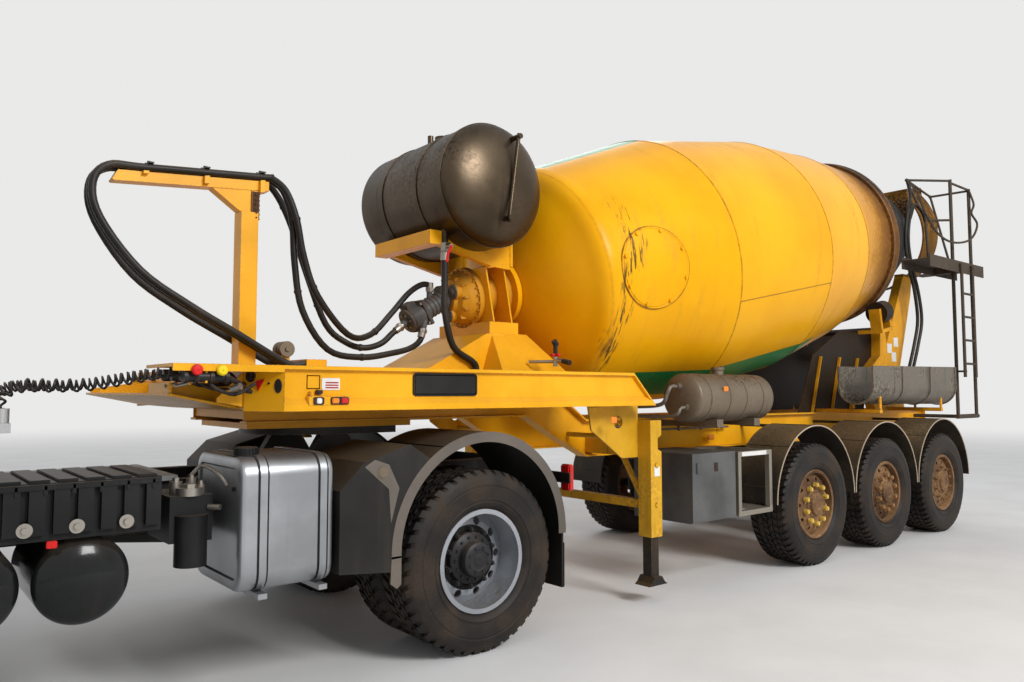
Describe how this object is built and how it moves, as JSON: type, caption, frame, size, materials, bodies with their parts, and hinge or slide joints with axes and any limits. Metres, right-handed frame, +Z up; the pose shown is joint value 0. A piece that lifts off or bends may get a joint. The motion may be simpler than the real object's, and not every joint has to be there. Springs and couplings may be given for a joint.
{
  "type": "articulated concrete mixer truck",
  "caption": "Articulated concrete mixer: tractor unit and semi-trailer with turning drum on rollers, swivel chute, water tank, hose mast, side tanks, tool box and landing legs.",
  "frame": {"origin": "on the ground under the middle of the lorry's length and width", "axes": "+X forward, +Y to the lorry's left, +Z up"},
  "size_m": [13.04, 2.88, 4.2248],
  "materials": {
    "chassis": "satin",
    "fifth_wheel": "greasy",
    "engine": "matte",
    "axle_black": "matte",
    "rim_silver": "satin",
    "tyre": "matte",
    "cab_paint": "gloss",
    "lamp": "clear",
    "glass": "clear",
    "seat_cloth": "matte",
    "trim_plastic": "matte",
    "tank_aluminium": "brushed",
    "black_plastic": "matte",
    "tank_black": "gloss",
    "mudguard_plastic": "matte",
    "catwalk_aluminium": "brushed",
    "yellow_paint": "satin",
    "gearbox_paint": "satin",
    "water_tank_metal": "satin",
    "drum_paint": "satin",
    "roller_steel": "rough",
    "crusted_yellow": "rough",
    "dirty_steel": "rough",
    "mudguard_dirty": "matte",
    "box_steel": "satin",
    "side_tank_metal": "satin",
    "hose_rubber": "matte"
  },
  "bodies": {
    "tractor": {"tractor_frame": "chassis", "fifth_wheel": "fifth_wheel", "engine": "engine", "drive_axle": "axle_black", "front_axle": "axle_black", "cab_shell": "cab_paint", "bumper": "cab_paint", "headlamps": "lamp", "cab_glass": "glass", "cab_seats": "seat_cloth", "dashboard": "trim_plastic", "mirrors": "trim_plastic", "cab_steps": "trim_plastic", "fuel_tank": "tank_aluminium", "battery_box": "black_plastic", "air_tanks": "tank_black", "drive_mudguards": "mudguard_plastic", "catwalk": "catwalk_aluminium"},
    "trailer": {"trailer_frame": "yellow_paint", "neck_beams": "yellow_paint", "hose_mast": "yellow_paint", "gearbox_stand": "yellow_paint", "gearbox": "gearbox_paint", "water_tank": "water_tank_metal", "rear_stand": "crusted_yellow", "platform": "dirty_steel", "collector": "crusted_yellow", "trailer_mudguards": "mudguard_dirty", "landing_legs": "yellow_paint", "trailer_axles": "axle_black", "tool_box": "box_steel", "side_tank": "side_tank_metal", "mast_hoses": "hose_rubber", "air_coils": "hose_rubber"},
    "knuckle_l": {"knuckle_l": "axle_black"},
    "knuckle_r": {"knuckle_r": "axle_black"},
    "front_wheel_l": {"front_rim_l": "rim_silver", "front_tyre_l": "tyre"},
    "front_wheel_r": {"front_rim_r": "rim_silver", "front_tyre_r": "tyre"},
    "drive_wheels_l": {"drive_rims_l": "rim_silver", "drive_tyres_l": "tyre"},
    "drive_wheels_r": {"drive_rims_r": "rim_silver", "drive_tyres_r": "tyre"},
    "door_l": {"door_l": "cab_paint", "door_glass_l": "glass"},
    "door_r": {"door_r": "cab_paint", "door_glass_r": "glass"},
    "drum": {"drum": "drum_paint"},
    "roller_l": {"roller_l": "roller_steel"},
    "roller_r": {"roller_r": "roller_steel"},
    "chute_arm": {"chute_arm": "dirty_steel"},
    "chute": {"chute": "dirty_steel"},
    "tool_box_door": {"tool_box_door": "box_steel"},
    "trailer_wheel_1l": {"trailer_wheel_1l": "tyre"},
    "trailer_wheel_1r": {"trailer_wheel_1r": "tyre"},
    "trailer_wheel_2l": {"trailer_wheel_2l": "tyre"},
    "trailer_wheel_2r": {"trailer_wheel_2r": "tyre"},
    "trailer_wheel_3l": {"trailer_wheel_3l": "tyre"},
    "trailer_wheel_3r": {"trailer_wheel_3r": "tyre"}
  },
  "joints": [
    {"name": "kingpin_turn", "type": "hinge", "parent": "tractor", "child": "trailer", "pos_m": [1.99, 0, 1.3], "axis": [0, 0, 1], "range_deg": [-90, 90]},
    {"name": "steer_l", "type": "hinge", "parent": "tractor", "child": "knuckle_l", "pos_m": [5.09, 0.88, 0.53], "axis": [0, 0, 1], "range_deg": [-35, 35]},
    {"name": "steer_r", "type": "hinge", "parent": "tractor", "child": "knuckle_r", "pos_m": [5.09, -0.88, 0.53], "axis": [0, 0, 1], "range_deg": [-35, 35]},
    {"name": "front_spin_l", "type": "hinge", "parent": "knuckle_l", "child": "front_wheel_l", "pos_m": [5.09, 1.02, 0.53], "axis": [0, 1, 0], "continuous": true},
    {"name": "front_spin_r", "type": "hinge", "parent": "knuckle_r", "child": "front_wheel_r", "pos_m": [5.09, -1.02, 0.53], "axis": [0, 1, 0], "continuous": true},
    {"name": "drive_spin_l", "type": "hinge", "parent": "tractor", "child": "drive_wheels_l", "pos_m": [1.44, 0.907, 0.53], "axis": [0, 1, 0], "continuous": true},
    {"name": "drive_spin_r", "type": "hinge", "parent": "tractor", "child": "drive_wheels_r", "pos_m": [1.44, -0.907, 0.53], "axis": [0, 1, 0], "continuous": true},
    {"name": "door_l_hinge", "type": "hinge", "parent": "tractor", "child": "door_l", "pos_m": [6.2365, 1.2, 1.6], "axis": [0, 0, 1], "range_deg": [-72, 0]},
    {"name": "door_r_hinge", "type": "hinge", "parent": "tractor", "child": "door_r", "pos_m": [6.2365, -1.2, 1.6], "axis": [0, 0, 1], "range_deg": [0, 72]},
    {"name": "drum_spin", "type": "hinge", "parent": "trailer", "child": "drum", "pos_m": [0.19, 0, 2.348], "axis": [-0.9813, 0, 0.1925], "continuous": true},
    {"name": "roller_spin_l", "type": "hinge", "parent": "trailer", "child": "roller_l", "pos_m": [-4.64636, 0.67126, 2.42131], "axis": [-0.9813, 0, 0.1925], "continuous": true},
    {"name": "roller_spin_r", "type": "hinge", "parent": "trailer", "child": "roller_r", "pos_m": [-4.64636, -0.67126, 2.42131], "axis": [-0.9813, 0, 0.1925], "continuous": true},
    {"name": "chute_swivel", "type": "hinge", "parent": "trailer", "child": "chute_arm", "pos_m": [-6.04, 0, 2], "axis": [0, 0, 1], "range_deg": [-135, 0]},
    {"name": "chute_tilt", "type": "hinge", "parent": "chute_arm", "child": "chute", "pos_m": [-6.04, -0.12, 2.02], "axis": [1, 0, 0], "range_deg": [-15, 25]},
    {"name": "tool_box_hinge", "type": "hinge", "parent": "trailer", "child": "tool_box_door", "pos_m": [-0.8, 1.2, 0.536], "axis": [1, 0, 0], "range_deg": [-90, 0]},
    {"name": "spin_1l", "type": "hinge", "parent": "trailer", "child": "trailer_wheel_1l", "pos_m": [-2.25, 1.0425, 0.53], "axis": [0, 1, 0], "continuous": true},
    {"name": "spin_1r", "type": "hinge", "parent": "trailer", "child": "trailer_wheel_1r", "pos_m": [-2.25, -1.0425, 0.53], "axis": [0, 1, 0], "continuous": true},
    {"name": "spin_2l", "type": "hinge", "parent": "trailer", "child": "trailer_wheel_2l", "pos_m": [-3.56, 1.0425, 0.53], "axis": [0, 1, 0], "continuous": true},
    {"name": "spin_2r", "type": "hinge", "parent": "trailer", "child": "trailer_wheel_2r", "pos_m": [-3.56, -1.0425, 0.53], "axis": [0, 1, 0], "continuous": true},
    {"name": "spin_3l", "type": "hinge", "parent": "trailer", "child": "trailer_wheel_3l", "pos_m": [-4.87, 1.0425, 0.53], "axis": [0, 1, 0], "continuous": true},
    {"name": "spin_3r", "type": "hinge", "parent": "trailer", "child": "trailer_wheel_3r", "pos_m": [-4.87, -1.0425, 0.53], "axis": [0, 1, 0], "continuous": true}
  ],
  "couplings": [
    {"joint": "steer_r", "follows": "steer_l", "ratio": 1},
    {"joint": "roller_spin_l", "follows": "drum_spin", "ratio": -7.72},
    {"joint": "roller_spin_r", "follows": "drum_spin", "ratio": -7.72}
  ]
}
